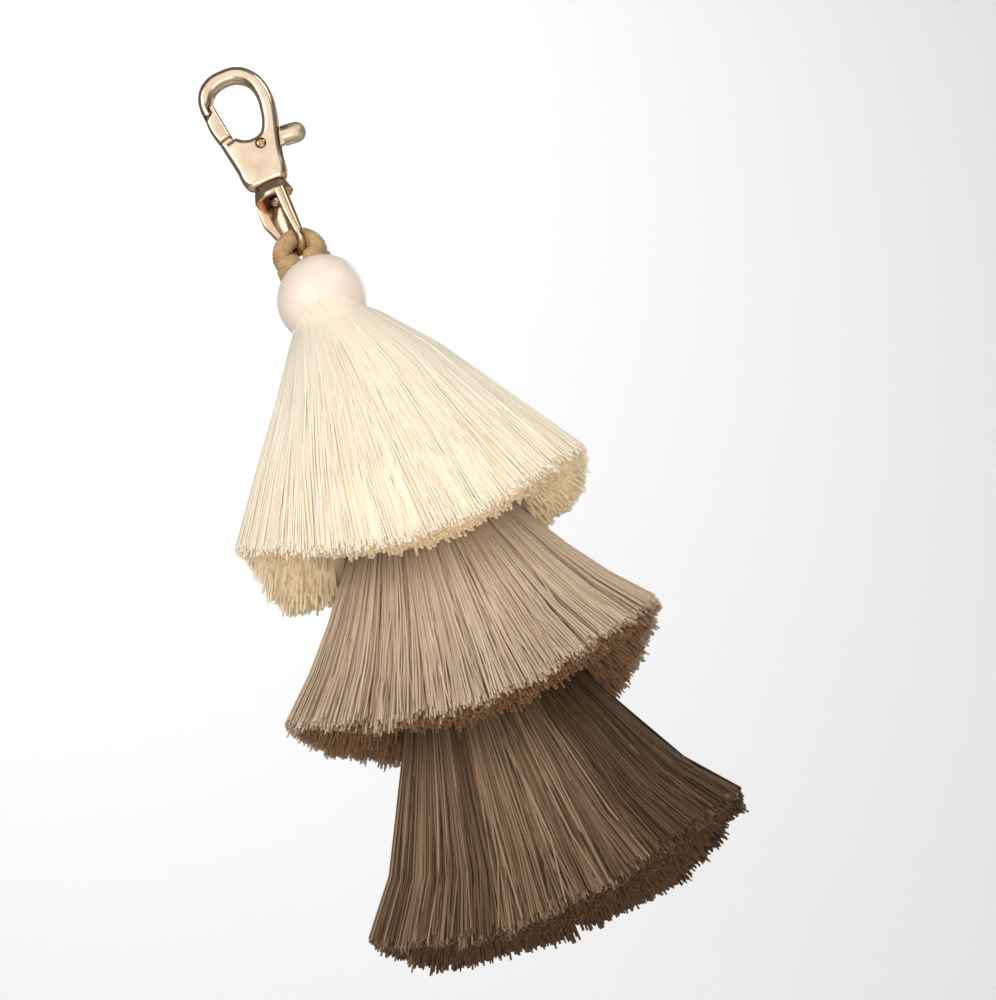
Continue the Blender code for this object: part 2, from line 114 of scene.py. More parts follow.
# The three tiers, in millimetres. Their parts and sides are said as the camera shows them: left is -X.
# profile: radius and height of the outermost yarn at the side, from the neck to the hem.
# shift, lean: how far the tier hangs to the right, and how much further its hem does.
# side, front: the height of the hem there. skew: how much lower it is at the right, and higher at the left.
# back_left, back_right: how much higher the hem is at each turn of BACK_TURNS.
# tilt: how much higher the hem is at the front right, and lower at the front left.
# tuck: how much closer the hem hangs behind, at the left and at the right, as a share of its reach.
# bulge: how much lower the innermost yarn hangs than the outermost at the sides.
# root: the radius of the neck that the yarn springs from.
# crown, arch: where the yarn starts on the bead at the front, and how much lower at the sides.
# ragged: how uneven the ends of the locks are. gather: how closely a lock draws together.
# painted_side_shade: painted shade, how much deeper the colour is towards the right, or below 0 towards the
# left.
# core: the imported yarn's outside, and the rim and the roof of its hollow, as shares of the hem's radius,
# and how far down it reaches.
# layers: the inner and the outer yarn, as yarn_layers gives them.
DEPTH_SHARE = 0.905  # the tiers' depth as a share of their width
LOCKS = 120  # how many locks the yarn of a tier falls into
BACK_TURNS = np.radians([90, 98, 106, 115, 125, 135, 150, 180])  # from the front, to either side
RIM_SHARE = 0.95  # the outer yarn lies past this share of the hem's radius

# How uneven the yarn is: most of it lies within twice these, in radians for turns and else in millimetres
LOCK_LEAN, STRAND_SWAY, STRAND_WAVE = 0.014, 0.036, 0.018
REACH_SPREAD, END_SPREAD, CROWN_SPREAD = 0.2, 0.45, 0.2
THICKNESS_SPREAD = 0.15  # as a share of the strand's thickness

# Tones, from 0, deep, to 1, light
LOCK_TONE, STRAND_TONE = 0.06, 0.15  # how much the locks and the strands in them differ
# The core's tone, deeper than the strands': painted shade in the gaps between them
CORE_SHADE_TONE = 0.35
# Painted shade among the strands: the inner layer is made deeper, and the outer layer deeper towards its
# inside
INNER_SHADE = 0.4  # how much deeper the inner layer is
OUTER_SHADE_FADE, OUTER_EVEN = 0.6, 0.65  # how fast the outer layer lightens outwards, and the rank that stays even
# Where the painted shade on a tier's shaded side sets in
SIDE_SHADE_EDGE, SIDE_SHADE_START = 1.6, 0.15  # how sharply the shaded side starts, and at what turn

HEM_CURVE = 0.6  # how the slant of the hem fades inwards: below 1, mostly close to the axis


def yarn_layers(fill, inner, outer, knots, recess, plump):
    """The two layers of a tier's yarn.

    The inner one goes from the share fill of the hem's radius to the rim, with inner strands of the
    thickness plump, whose ends at the front stand recess higher. The outer one has outer strands, each
    bent at the shares of its length in knots.
    """
    return {
        "inner": dict(
            count=inner, low=fill, high=RIM_SHARE, knots=[0.0, 0.5, 1.0], recess=recess, thickness=plump,
            inside=1.0, crown=False,
        ),
        "outer": dict(
            count=outer, low=RIM_SHARE, high=1.0, knots=knots, recess=0.0, thickness=0.2, inside=0.1,
            crown=True,
        ),
    }


TIERS = {
    "cream": dict(
        profile=[(8.0, -53.0), (10.0, -55.2), (13.3, -59.4), (18.3, -67.1), (24.1, -75.8), (29.7, -84.2),
                 (34.3, -91.4)],
        shift=1.5, lean=-0.5, side=-91.3, front=-103.6, skew=3.8,
        back_left=[0.0, 0.6, -6.0, -9.0, -6.8, -2.6, 1.0, 1.0],
        back_right=[0.0, -0.8, -2.4, -3.0, -2.0, -0.6, 0.8, 1.0],
        tuck=(0.0, 0.0), tilt=0.0, bulge=6.5,
        root=6.6, crown=-50.2, arch=2.7, ragged=0.2, gather=0.2, painted_side_shade=0.0, core=(0.99, 0.62, 0.3, 0.985),
        layers=yarn_layers(0.6, 4000, 3600, [0.0, 0.05, 0.3, 0.65, 1.0], 0.6, 0.33),
    ),
    "beige": dict(
        profile=[(7.4, -84.0), (10.9, -89.6), (17.8, -100.4), (22.4, -107.6), (27.1, -114.0),
                 (32.0, -120.2), (37.0, -125.2)],
        shift=3.3, lean=-3.4, side=-125.0, front=-136.0, skew=2.6,
        back_left=[0.0, -0.4, -1.6, -2.3, -2.2, -1.5, -2.2, -3.8],
        back_right=[0.0, -0.4, -0.8, -1.8, -3.0, -4.6, -5.0, -3.8],
        tuck=(0.0, 0.045), tilt=0.0, bulge=5.5,
        root=6.4, ragged=0.5, gather=0.5, painted_side_shade=-0.12, core=(0.94, 0.62, 0.3, 0.94),
        layers=yarn_layers(0.58, 4200, 3400, [0.0, 0.1, 0.25, 0.42, 0.6, 0.8, 1.0], -0.6, 0.27),
    ),
    "taupe": dict(
        profile=[(7.2, -112.6), (12.6, -123.2), (19.0, -136.6), (22.4, -143.4), (26.2, -150.8),
                 (30.5, -159.2), (37.1, -166.8)],
        shift=0.75, lean=-1.0, side=-166.2, front=-175.2, skew=0.8,
        back_left=[0.0, -0.2, -1.2, -2.6, -3.9, -3.6, -1.6, 3.4],
        back_right=[0.0, 0.0, 0.2, -0.2, -1.2, -1.9, -2.3, 3.4],
        tuck=(0.0, 0.0), tilt=1.0, bulge=6.2,
        root=5.8, ragged=0.55, gather=0.5, painted_side_shade=0.36, core=(0.94, 0.1, 0.02, 0.94),
        layers=yarn_layers(0.06, 5600, 3400, [0.0, 0.1, 0.25, 0.42, 0.6, 0.8, 1.0], 0.4, 0.25),
    ),
}

# Each yarn's colours: its deepest, usual and lightest strands, the deepest also serving as painted shade
# among them, and the painted shade on the ends of the inner ones, under the hem. Then comes how much light
# passes into it.
YARN_COLOURS = {
    "cream": ((0.97, 0.85, 0.64), (0.955, 0.865, 0.70), (0.96, 0.88, 0.745), (0.97, 0.80, 0.56), 0.3),
    "beige": ((0.28, 0.185, 0.12), (0.52, 0.41, 0.307), (0.66, 0.555, 0.448), (0.29, 0.162, 0.084), 0.0),
    "taupe": ((0.045, 0.026, 0.014), (0.14, 0.088, 0.05), (0.385, 0.272, 0.182), (0.12, 0.064, 0.032), 0.0),
}
STUDIO_WHITE = (0.79, 0.80, 0.82)

# Lights: place and aim in metres, the disk's size, power and colour
LIGHTS = {
    "key_light": ((-0.45, -0.6, 0.3), (0.0, 0.0, -0.08), 0.5, 2.5, (1.0, 0.95, 0.88)),
    "front_light": ((0.0, -1.0, 0.2), (0.0, 0.0, -0.08), 1.4, 6.7, (1.0, 0.97, 0.92)),
    "side_light": ((0.75, -0.4, 0.45), (0.0, 0.0, -0.06), 0.5, 2.3, (1.0, 0.96, 0.90)),
    "low_light": ((0.05, -0.45, -0.38), (0.0, 0.0, -0.12), 0.5, 1.55, (1.0, 0.86, 0.70)),
    "back_light": ((-0.2, 0.6, 0.5), (-0.15, 1.2, 0.0), 1.0, 5.6, (1.0, 1.0, 1.0)),
    "rear_light": ((0.5, 0.8, 0.2), (0.0, 0.0, -0.1), 0.6, 1.8, (1.0, 0.97, 0.93)),
}
ROOM_COLOUR, ROOM_STRENGTH = (1.0, 0.97, 0.93), 0.24
FLOOR_PLACE, BACKDROP_PLACE, SHEET_SIZE = (0.0, 0.0, -0.42), (0.0, 1.2, 1.5), 6.0

SEAM = 0.002 * MM  # places closer than this are one


# ---------------------------------------------------------------- finishes


def new_finish(name, **values):
    """A new material, its nodes and its shader, whose sockets get the values: two words as Two_Words."""
    material = bpy.data.materials.new(name)
    material.use_nodes = True
    shader = material.node_tree.nodes["Principled BSDF"]
    for key, value in values.items():
        shader.inputs[key.replace("_", " ")].default_value = value
    return material, material.node_tree, shader


def add_node(tree, kind, **values):
    """Adds a node, and sets its sockets or, where it has no such socket, its own settings."""
    node = tree.nodes.new(kind)
    for key, value in values.items():
        if key in node.inputs:
            node.inputs[key].default_value = value
        else:
            setattr(node, key, value)
    return node


def colour_ramp(tree, factor, *stops):
    """A ramp between colours, each with its place from 0 to 1. Gives the socket with its colour."""
    node = add_node(tree, "ShaderNodeValToRGB")
    elements = node.color_ramp.elements
    while len(elements) < len(stops):
        elements.new(0.5)
    for element, (place, colour) in zip(elements, stops):
        element.position = place
        element.color = (*colour, 1.0)
    tree.links.new(factor, node.inputs["Fac"])
    return node.outputs["Color"]


def blotches(tree, place, scale, detail, **values):
    """Soft irregular patches. Gives the socket with their values, from 0 to 1."""
    noise = add_node(tree, "ShaderNodeTexNoise", Scale=scale, Detail=detail, **values)
    tree.links.new(place, noise.inputs["Vector"])
    return noise.outputs["Fac"]


def fine_relief(tree, place, shader, scale, detail, strength):
    """Relief too fine to model: scuffs, grain or fibres."""
    bump = add_node(tree, "ShaderNodeBump", Strength=strength, Distance=0.1 * MM)
    tree.links.new(blotches(tree, place, scale, detail), bump.inputs["Height"])
    tree.links.new(bump.outputs["Normal"], shader.inputs["Normal"])


def metal_finish(name, deep, pale):
    """Polished plating: uneven gloss, fine scuffs, and a satin thumb knob."""
    material, tree, shader = new_finish(name, Metallic=1.0, Specular_Tint=(0.42, 0.26, 0.17, 1.0))
    place = add_node(tree, "ShaderNodeTexCoord").outputs["Object"]
    smudge = blotches(tree, place, 260.0, 3.0)
    gloss = add_node(tree, "ShaderNodeMapRange")
    gloss.inputs["To Min"].default_value = 0.13
    gloss.inputs["To Max"].default_value = 0.27
    tree.links.new(smudge, gloss.inputs["Value"])
    sides = add_node(tree, "ShaderNodeSeparateXYZ")
    tree.links.new(place, sides.inputs["Vector"])
    satin = add_node(tree, "ShaderNodeMapRange")
    satin.inputs["From Min"].default_value = SATIN_FROM * MM
    satin.inputs["From Max"].default_value = SATIN_TO * MM
    satin.inputs["To Max"].default_value = 0.3
    tree.links.new(sides.outputs["X"], satin.inputs["Value"])
    dulled = add_node(tree, "ShaderNodeMath", operation="ADD")
    tree.links.new(gloss.outputs["Result"], dulled.inputs[0])
    tree.links.new(satin.outputs["Result"], dulled.inputs[1])
    tree.links.new(dulled.outputs["Value"], shader.inputs["Roughness"])
    tree.links.new(colour_ramp(tree, smudge, (0.3, deep), (0.75, pale)), shader.inputs["Base Color"])
    fine_relief(tree, place, shader, 1900.0, 4.0, 0.06)
    return material


def bead_finish():
    """Smooth pinkish white resin with a soft gloss and faint clouding."""
    material, tree, shader = new_finish(
        "bead_resin", Roughness=0.42, Coat_Weight=0.2, Coat_Roughness=0.12, Subsurface_Weight=0.15,
        Subsurface_Radius=(0.004, 0.003, 0.002),
    )
    place = add_node(tree, "ShaderNodeTexCoord").outputs["Object"]
    cloud = blotches(tree, place, 140.0, 4.0, Roughness=0.6)
    colour = colour_ramp(tree, cloud, (0.3, (0.76, 0.665, 0.59)), (0.7, (0.82, 0.74, 0.67)))
    tree.links.new(colour, shader.inputs["Base Color"])
    fine_relief(tree, place, shader, 1200.0, 2.0, 0.05)
    return material


def thread_finish():
    """Tan thread wound round the loop: patches a little lighter or darker, with fine fibres."""
    material, tree, shader = new_finish("tan_thread", Roughness=0.62, Sheen_Weight=0.35, Sheen_Roughness=0.4)
    place = add_node(tree, "ShaderNodeTexCoord").outputs["Object"]
    patch = blotches(tree, place, 420.0, 4.0, Roughness=0.65)
    colour = colour_ramp(tree, patch, (0.32, (0.30, 0.185, 0.085)), (0.72, (0.56, 0.385, 0.205)))
    tree.links.new(colour, shader.inputs["Base Color"])
    fine_relief(tree, place, shader, 3200.0, 3.0, 0.35)
    return material


def yarn_finish(name, deep, body, light, under, glow):
    """Twisted yarn, read from the strands' own attribute.

    Red is the strand's tone, partly painted shade, green how far down it a place is, and blue whether it lies
    inside the tier:
    the ends of the inner strands take the painted shade of the hem's underside.
    """
    material, tree, shader = new_finish(
        name, Roughness=0.6, Specular_IOR_Level=0.2, Subsurface_Weight=glow, Subsurface_Scale=1.0,
        Subsurface_Radius=(0.0016, 0.0012, 0.0008), Sheen_Weight=0.12, Sheen_Roughness=0.4,
        Sheen_Tint=(*light, 1.0),
    )
    strand = add_node(tree, "ShaderNodeAttribute", attribute_name="strand")
    parts = add_node(tree, "ShaderNodeSeparateColor")
    tree.links.new(strand.outputs["Color"], parts.inputs["Color"])
    tone = colour_ramp(tree, parts.outputs["Red"], (0.0, deep), (0.5, body), (1.0, light))
    # Painted shade: the ends of the inner strands are blended towards the underside colour, the shade under
    # the hem
    ends = add_node(tree, "ShaderNodeMapRange")
    ends.inputs["From Min"].default_value = 0.7
    ends.inputs["From Max"].default_value = 0.98
    tree.links.new(parts.outputs["Green"], ends.inputs["Value"])
    inside = add_node(tree, "ShaderNodeMath", operation="MULTIPLY")
    tree.links.new(ends.outputs["Result"], inside.inputs[0])
    tree.links.new(parts.outputs["Blue"], inside.inputs[1])
    blend = add_node(tree, "ShaderNodeMix", data_type="RGBA")
    first, second = (socket for socket in blend.inputs if socket.type == "RGBA")
    tree.links.new(inside.outputs["Value"], blend.inputs["Factor"])
    tree.links.new(tone, first)
    second.default_value = (*under, 1.0)
    mixed = next(socket for socket in blend.outputs if socket.type == "RGBA")
    tree.links.new(mixed, shader.inputs["Base Color"])
    place = add_node(tree, "ShaderNodeTexCoord").outputs["Object"]
    fine_relief(tree, place, shader, 2600.0, 2.0, 0.3)
    return material


def studio_finish(name):
    """Matt paint for the floor and the backdrop."""
    return new_finish(name, Base_Color=(*STUDIO_WHITE, 1.0), Roughness=0.8)[0]


ROSE_GOLD = metal_finish("rose_gold_plating", (0.50, 0.395, 0.29), (0.61, 0.51, 0.405))
# The eye's plating is given deeper colours than the hook's: painted shade
EYE_SHADED_GOLD = metal_finish("shaded_rose_gold", (0.47, 0.335, 0.225), (0.59, 0.46, 0.34))
# The rivet's plating is given deeper colours than the hook's
RIVET_GOLD = metal_finish("deeper_rivet_gold", (0.36, 0.22, 0.11), (0.46, 0.30, 0.17))
BEAD_RESIN = bead_finish()
TAN_THREAD = thread_finish()
YARNS = {name: yarn_finish(name + "_yarn", *colours) for name, colours in YARN_COLOURS.items()}


# ---------------------------------------------------------------- workshop helpers


def clamped(value, low=0.0, high=1.0):
    return max(low, min(high, value))


def select_only(piece):
    bpy.ops.object.select_all(action="DESELECT")
    piece.select_set(True)
    bpy.context.view_layer.objects.active = piece


def settle(piece, name):
    """Names the piece and applies its place, turn and size."""
    select_only(piece)
    piece.name = name
    piece.data.name = name
    bpy.ops.object.transform_apply(location=True, rotation=True, scale=True)
    return piece


def close_seams(outward=True):
    """Merges the selected piece's doubles, and turns its faces outwards."""
    bpy.ops.object.mode_set(mode="EDIT")
    bpy.ops.mesh.select_all(action="SELECT")
    bpy.ops.mesh.remove_doubles(threshold=SEAM)
    if outward:
        bpy.ops.mesh.normals_make_consistent(inside=False)
    bpy.ops.object.mode_set(mode="OBJECT")


def apply_modifiers(piece):
    select_only(piece)
    for modifier in list(piece.modifiers):
        bpy.ops.object.modifier_apply(modifier=modifier.name)


def hand_over(piece, material, body, slot, *nodes, smooth=35):
    """Finishes a piece: material, smooth shading, its body and the nodes that it stands for. The slot is not
    used.
    """
    piece.data.materials.clear()
    piece.data.materials.append(material)
    if smooth:
        select_only(piece)
        bpy.ops.object.shade_smooth_by_angle(angle=math.radians(smooth))
    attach(piece, body)
    if nodes:
        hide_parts(*nodes)


def empty_cord(roundness):
    """A cord without a route yet. A radius of 1 on its route is 1 mm."""
    bpy.ops.curve.primitive_bezier_curve_add()
    piece = bpy.context.object
    piece.data.splines.clear()
    piece.data.dimensions = "3D"
    piece.data.bevel_depth = MM
    piece.data.bevel_resolution = roundness
    piece.data.use_fill_caps = True
    return piece


def curve_to_mesh(piece, name):
    select_only(piece)
    bpy.ops.object.convert(target="MESH")
    return settle(bpy.context.view_layer.objects.active, name)


def plate_from_outline(name, outline, thickness, edge_round, steps=6, round_steps=4):
    """A plate in the XZ plane cut to an outline, its edges rounded."""
    bpy.ops.curve.primitive_bezier_curve_add(rotation=(math.radians(90), 0.0, 0.0))
    piece = bpy.context.object
    curve = piece.data
    curve.dimensions = "2D"
    curve.fill_mode = "BOTH"
    curve.resolution_u = steps
    curve.extrude = (thickness / 2 - edge_round) * MM
    curve.bevel_depth = edge_round * MM
    curve.bevel_resolution = round_steps
    curve.offset = -edge_round * MM
    spline = curve.splines[0]
    spline.bezier_points.add(len(outline) - 2)
    spline.use_cyclic_u = True
    for point, (x, z, corner) in zip(spline.bezier_points, outline):
        point.co = ((x + CLASP_X) * MM, z * MM, 0.0)
        point.handle_left_type = point.handle_right_type = "VECTOR" if corner else "AUTO"
    plate = curve_to_mesh(piece, name)
    close_seams()
    return plate


def bar_along(name, route, radii, roundness):
    """A round bar or cord along a route, with a radius for each of its points, in millimetres."""
    piece = empty_cord(roundness)
    spline = piece.data.splines.new("POLY")
    spline.points.add(len(route) - 1)
    for point, place, radius in zip(spline.points, route, radii):
        point.co = (*(Vector(place) * MM), 1.0)
        point.radius = radius
    bar = curve_to_mesh(piece, name)
    close_seams()
    return bar


def turned_piece(name, profile, steps):
    """A piece turned on the lathe: (radius, z) in millimetres, from its top down its outer side."""
    bpy.ops.mesh.primitive_circle_add(vertices=3, radius=MM)
    piece = bpy.context.object
    line = bmesh.new()
    verts = [line.verts.new((radius * MM, 0.0, z * MM)) for radius, z in profile]
    for first, second in zip(verts, verts[1:]):
        line.edges.new((first, second))
    line.to_mesh(piece.data)
    line.free()
    turn = piece.modifiers.new("Turn", "SCREW")
    turn.steps = turn.render_steps = steps
    turn.use_merge_vertices = True
    turn.merge_threshold = 0.005 * MM
    apply_modifiers(piece)
    settle(piece, name)
    close_seams()
    return piece


def joined(target, other, operation="UNION"):
    """Welds other to target, or cuts it away."""
    cut = target.modifiers.new(operation, "BOOLEAN")
    cut.operation = operation
    cut.object = other
    apply_modifiers(target)
    bpy.data.objects.remove(other)


def round_cutter(radius, depth, place, across=True):
    """A round bar for a bore, from front to back where it is across, and else upright."""
    bpy.ops.mesh.primitive_cylinder_add(
        vertices=40, radius=radius * MM, depth=depth * MM, location=Vector(place) * MM,
        rotation=(math.radians(90) if across else 0.0, 0.0, 0.0),
    )
    return bpy.context.object


def rivet_bore():
    """What the rivet's bore takes out of the hook and the lever."""
    return round_cutter(RIVET_RADIUS + RIVET_PLAY, 9.0, (RIVET_X, 0.0, RIVET_Z))


# ---------------------------------------------------------------- metal pieces


def cast_hook():
    """The hook: a rounded arm, two flat cheeks with a slot between them, and the peened stem."""
    hook = plate_from_outline("snap_hook", HOOK_OUTLINE, HOOK_THICKNESS, HOOK_ROUND)
    slot = plate_from_outline("slot", SLOT_OUTLINE, SLOT_WIDTH, 0.02, steps=1, round_steps=0)
    joined(hook, slot, "DIFFERENCE")
    joined(hook, rivet_bore(), "DIFFERENCE")
    stem_top, head_top = HOOK_BOTTOM + 1.5, EYE_PLATE_FOOT - 0.3
    stem = [(0.0, stem_top), (STEM_RADIUS, stem_top), (STEM_RADIUS, head_top)]
    for radius, depth in ((1.7, 0.0), (1.75, 0.4), (1.55, 0.85), (0.95, 1.25), (0.0, 1.4)):
        stem.append((radius, head_top - depth))
    joined(hook, turned_piece("stem", stem, 40))
    hand_over(hook, ROSE_GOLD, "clasp", "gold_metal", "hook")


def rivet_pin():
    """The rivet, with a low dome at each end."""
    half = HOOK_THICKNESS / 2 + RIVET_PROUD
    profile = [(0.0, half), (0.55, half - 0.02), (0.85, half - 0.12), (RIVET_RADIUS, half - 0.32)]
    profile += [(radius, -z) for radius, z in reversed(profile)]
    pin = turned_piece("rivet_pin", profile, 40)
    pin.rotation_euler = (math.radians(90), 0.0, 0.0)
    pin.location = Vector((RIVET_X, 0.0, RIVET_Z)) * MM
    settle(pin, "rivet_pin")
    hand_over(pin, RIVET_GOLD, "clasp", "gold_metal", "rivet")


def gate_lever():
    """The lever: a thick closing bar, a thin hub between the cheeks, and the thumb knob."""
    lever = plate_from_outline("gate_lever", LEVER_OUTLINE, LEVER_THICKNESS, LEVER_ROUND, round_steps=2)
    joined(lever, plate_from_outline("bar", BAR_OUTLINE, BAR_THICKNESS, BAR_ROUND))
    knob = bar_along("knob", KNOB_ROUTE, [KNOB_RADIUS] * len(KNOB_ROUTE), 8)
    bpy.ops.mesh.primitive_uv_sphere_add(
        segments=40, ring_count=24, radius=(KNOB_RADIUS - 0.002) * MM,
        location=[value * MM for value in KNOB_ROUTE[-1]], rotation=(0.0, math.radians(90), 0.0),
    )
    joined(knob, bpy.context.object)
    joined(lever, knob)
    joined(lever, rivet_bore(), "DIFFERENCE")
    hand_over(lever, ROSE_GOLD, "gate", "gold_metal", "gate")


def stirrup_eye():
    """The bored plate under the hook, and the bow that widens from its round foot to two straps."""
    bend_z, arm_top = EYE_BOTTOM + EYE_HALF_WIDTH, EYE_PLATE_FOOT + 0.8
    arm = [(EYE_HALF_WIDTH, 0.0, arm_top)]
    arm += [(EYE_HALF_WIDTH, 0.0, bend_z + step) for step in (4.5, 3.0, 1.5)]
    bow = list(arm)
    for step in range(BOW_STEPS + 1):
        angle = math.pi * step / BOW_STEPS
        bow.append((EYE_HALF_WIDTH * math.cos(angle), 0.0, bend_z - EYE_HALF_WIDTH * math.sin(angle)))
    bow += [(-x, y, z) for x, y, z in reversed(arm)]
    eye = bar_along("stirrup_eye", bow, [EYE_WIRE] * len(bow), 6)
    for vert in eye.data.vertices:
        rise = clamped((vert.co.z / MM - EYE_BOTTOM - EYE_WIRE) / STRAP_RISE)
        vert.co.y *= 1.0 + (FRONT_STRAP if vert.co.x > 0.0 else BACK_STRAP) * rise
    top, foot = EYE_PLATE_TOP, EYE_PLATE_FOOT
    profile = [(0.0, top), (2.8, top), (3.2, top - 0.12), (3.45, top - 0.5), (3.75, foot + 1.2),
               (3.95, foot + 0.7), (3.95, foot + 0.3), (3.65, foot), (0.0, foot)]
    joined(eye, turned_piece("plate", profile, 56))
    joined(eye, round_cutter(EYE_BORE, 8.0, (0.0, 0.0, (top + foot) / 2), across=False), "DIFFERENCE")
    eye.rotation_euler = (0.0, 0.0, EYE_TURN)
    settle(eye, "stirrup_eye")
    # The eye leans, more at the back than at the front, and its bore stays round the stem
    for vert in eye.data.vertices:
        radius = math.hypot(vert.co.x, vert.co.y) / MM
        if radius > EYE_BORE + 0.05:
            sway = EYE_SWAY * (0.65 + 0.35 * clamped(vert.co.y / MM / 2.0, -1.0))
            vert.co.x -= sway * MM * clamped((vert.co.z / MM - EYE_BOTTOM) / EYE_SWAY_RISE)
    hand_over(eye, EYE_SHADED_GOLD, "tassel", "gold_metal", "swivel_eye")


# ---------------------------------------------------------------- loop and bead


def wound_loop():
    """The cord loop, its shown part wound with thread: each turn of the thread is a small ridge."""
    shown_end = BEAD_Z + 5.5
    straight, arch = LOOP_CENTRE_Z - shown_end, math.pi * LEG_X
    hidden = [(LEG_X, 0.0, LEG_HIDDEN_Z), (LEG_X, 0.0, LEG_END_Z)]
    hidden_radii = [CORD_RADIUS - 0.1] * len(hidden)
    route = [(-x, y, z) for x, y, z in reversed(hidden)]
    radii = list(hidden_radii)
    swell_top = EYE_BOTTOM - 0.4
    for turn in range(int((arch + 2 * straight) / THREAD_PITCH) + 1):
        for share, lift in THREAD_RIDGE:
            reach = (turn + share) * THREAD_PITCH
            if reach < straight:
                x, z = -LEG_X, shown_end + reach
            elif reach < straight + arch:
                angle = (reach - straight) / LEG_X
                x, z = -LEG_X * math.cos(angle), LOOP_CENTRE_Z + LEG_X * math.sin(angle)
            else:
                x, z = LEG_X, LOOP_CENTRE_Z - (reach - straight - arch)
            fall = clamped((swell_top - z) / LEG_SWELL_DROP)
            swell = LEG_SWELL * fall * fall * (3 - 2 * fall)
            route.append((x - math.copysign(swell, x) - LOOP_SWAY, 0.0, z))
            radii.append(CORD_RADIUS + lift + swell)
    loop = bar_along("wound_loop", route + hidden, radii + hidden_radii, 7)
    hand_over(loop, TAN_THREAD, "tassel", "loop_cord", "hanging_loop", smooth=60)


def round_bead():
    """The slightly oval bead, with a bore for each leg of the loop."""
    bpy.ops.mesh.primitive_uv_sphere_add(
        segments=96, ring_count=48, radius=BEAD_RADIUS * MM,
        location=(BEAD_SHIFT_X * MM, 0.0, (BEAD_Z + BEAD_SHIFT_Z) * MM),
    )
    bead = bpy.context.object
    bead.scale = BEAD_STRETCH
    bead.rotation_euler = (0.0, BEAD_TILT, 0.0)
    settle(bead, "round_bead")
    for side in (-1, 1):
        bore = round_cutter(BEAD_BORE_RADIUS, 30.0, (side * BEAD_BORE_X, 0.0, BEAD_Z), across=False)
        joined(bead, bore, "DIFFERENCE")
    hand_over(bead, BEAD_RESIN, "tassel", "bead", "bead")


# ---------------------------------------------------------------- yarn
# A strand's turn is its angle from the front, rising towards the right. Its share is its place in the tier:
# 0 on the axis and 1 at the outside. t goes along it, from 0 at the neck to 1 at the hem.


def hem_height(tier, turn, share):
    """The height where strands of that turn and share end, in millimetres."""
    side = np.sin(turn)
    outer = tier["front"] + (tier["side"] - tier["front"]) * side**2 - tier["skew"] * side
    turned = np.abs((turn + np.pi) % (2 * np.pi) - np.pi)
    left, right = (np.interp(turned, BACK_TURNS, tier[name]) for name in ("back_left", "back_right"))
    outer = outer + np.where(side < 0.0, left, right)
    outer = outer + 2 * tier["tilt"] * side * np.clip(np.cos(turn), 0.0, 1.0)
    bulge = tier["bulge"] * (0.35 + 0.65 * side**2)  # least at the front and behind
    slant = share**HEM_CURVE
    return outer * slant + tier["front"] * (1 - slant) - bulge * (1.0 - share)


def tier_line(tier, share, t):
    """A strand's distance from the axis at t, in millimetres, and how much of its drop it has made."""
    profile = np.array(tier["profile"])
    steps = np.hypot(*np.diff(profile, axis=0).T)
    along = np.concatenate([[0.0], np.cumsum(steps)]) / steps.sum()
    radius, height = np.interp(t, along, profile[:, 0]), np.interp(t, along, profile[:, 1])
    first, last = profile[0, 0], profile[-1, 0]
    root = tier["root"] * (0.35 + 0.65 * share)
    out = root + (first - root) * np.clip((share - 0.8) / 0.2, 0.0, 1.0)  # the outer fifth lies over the neck
    reach = out + (radius - first) * (share * last - out) / (last - first)
    return reach, (height - profile[0, 1]) / (profile[-1, 1] - profile[0, 1])


def tier_place(tier, reach, turn, t, drop, end):
    """The place in space, in millimetres, of strands that end at the height end."""
    top = tier["profile"][0][1]
    left, right = tier["tuck"]
    behind = np.clip(-np.cos(turn), 0.0, 1.0)
    tuck = (left + right + (right - left) * np.sin(turn)) / 2
    reach = reach * (1.0 - tuck * behind * (2.0 - behind) * t)
    x = reach * np.sin(turn) + (tier["shift"] + tier["lean"] * t) * np.minimum(t * 5, 1.0)
    y = -reach * np.cos(turn) * (1.0 - (1.0 - DEPTH_SHARE) * t)
    return np.stack([x, y, top + drop * (end - top)], axis=-1)


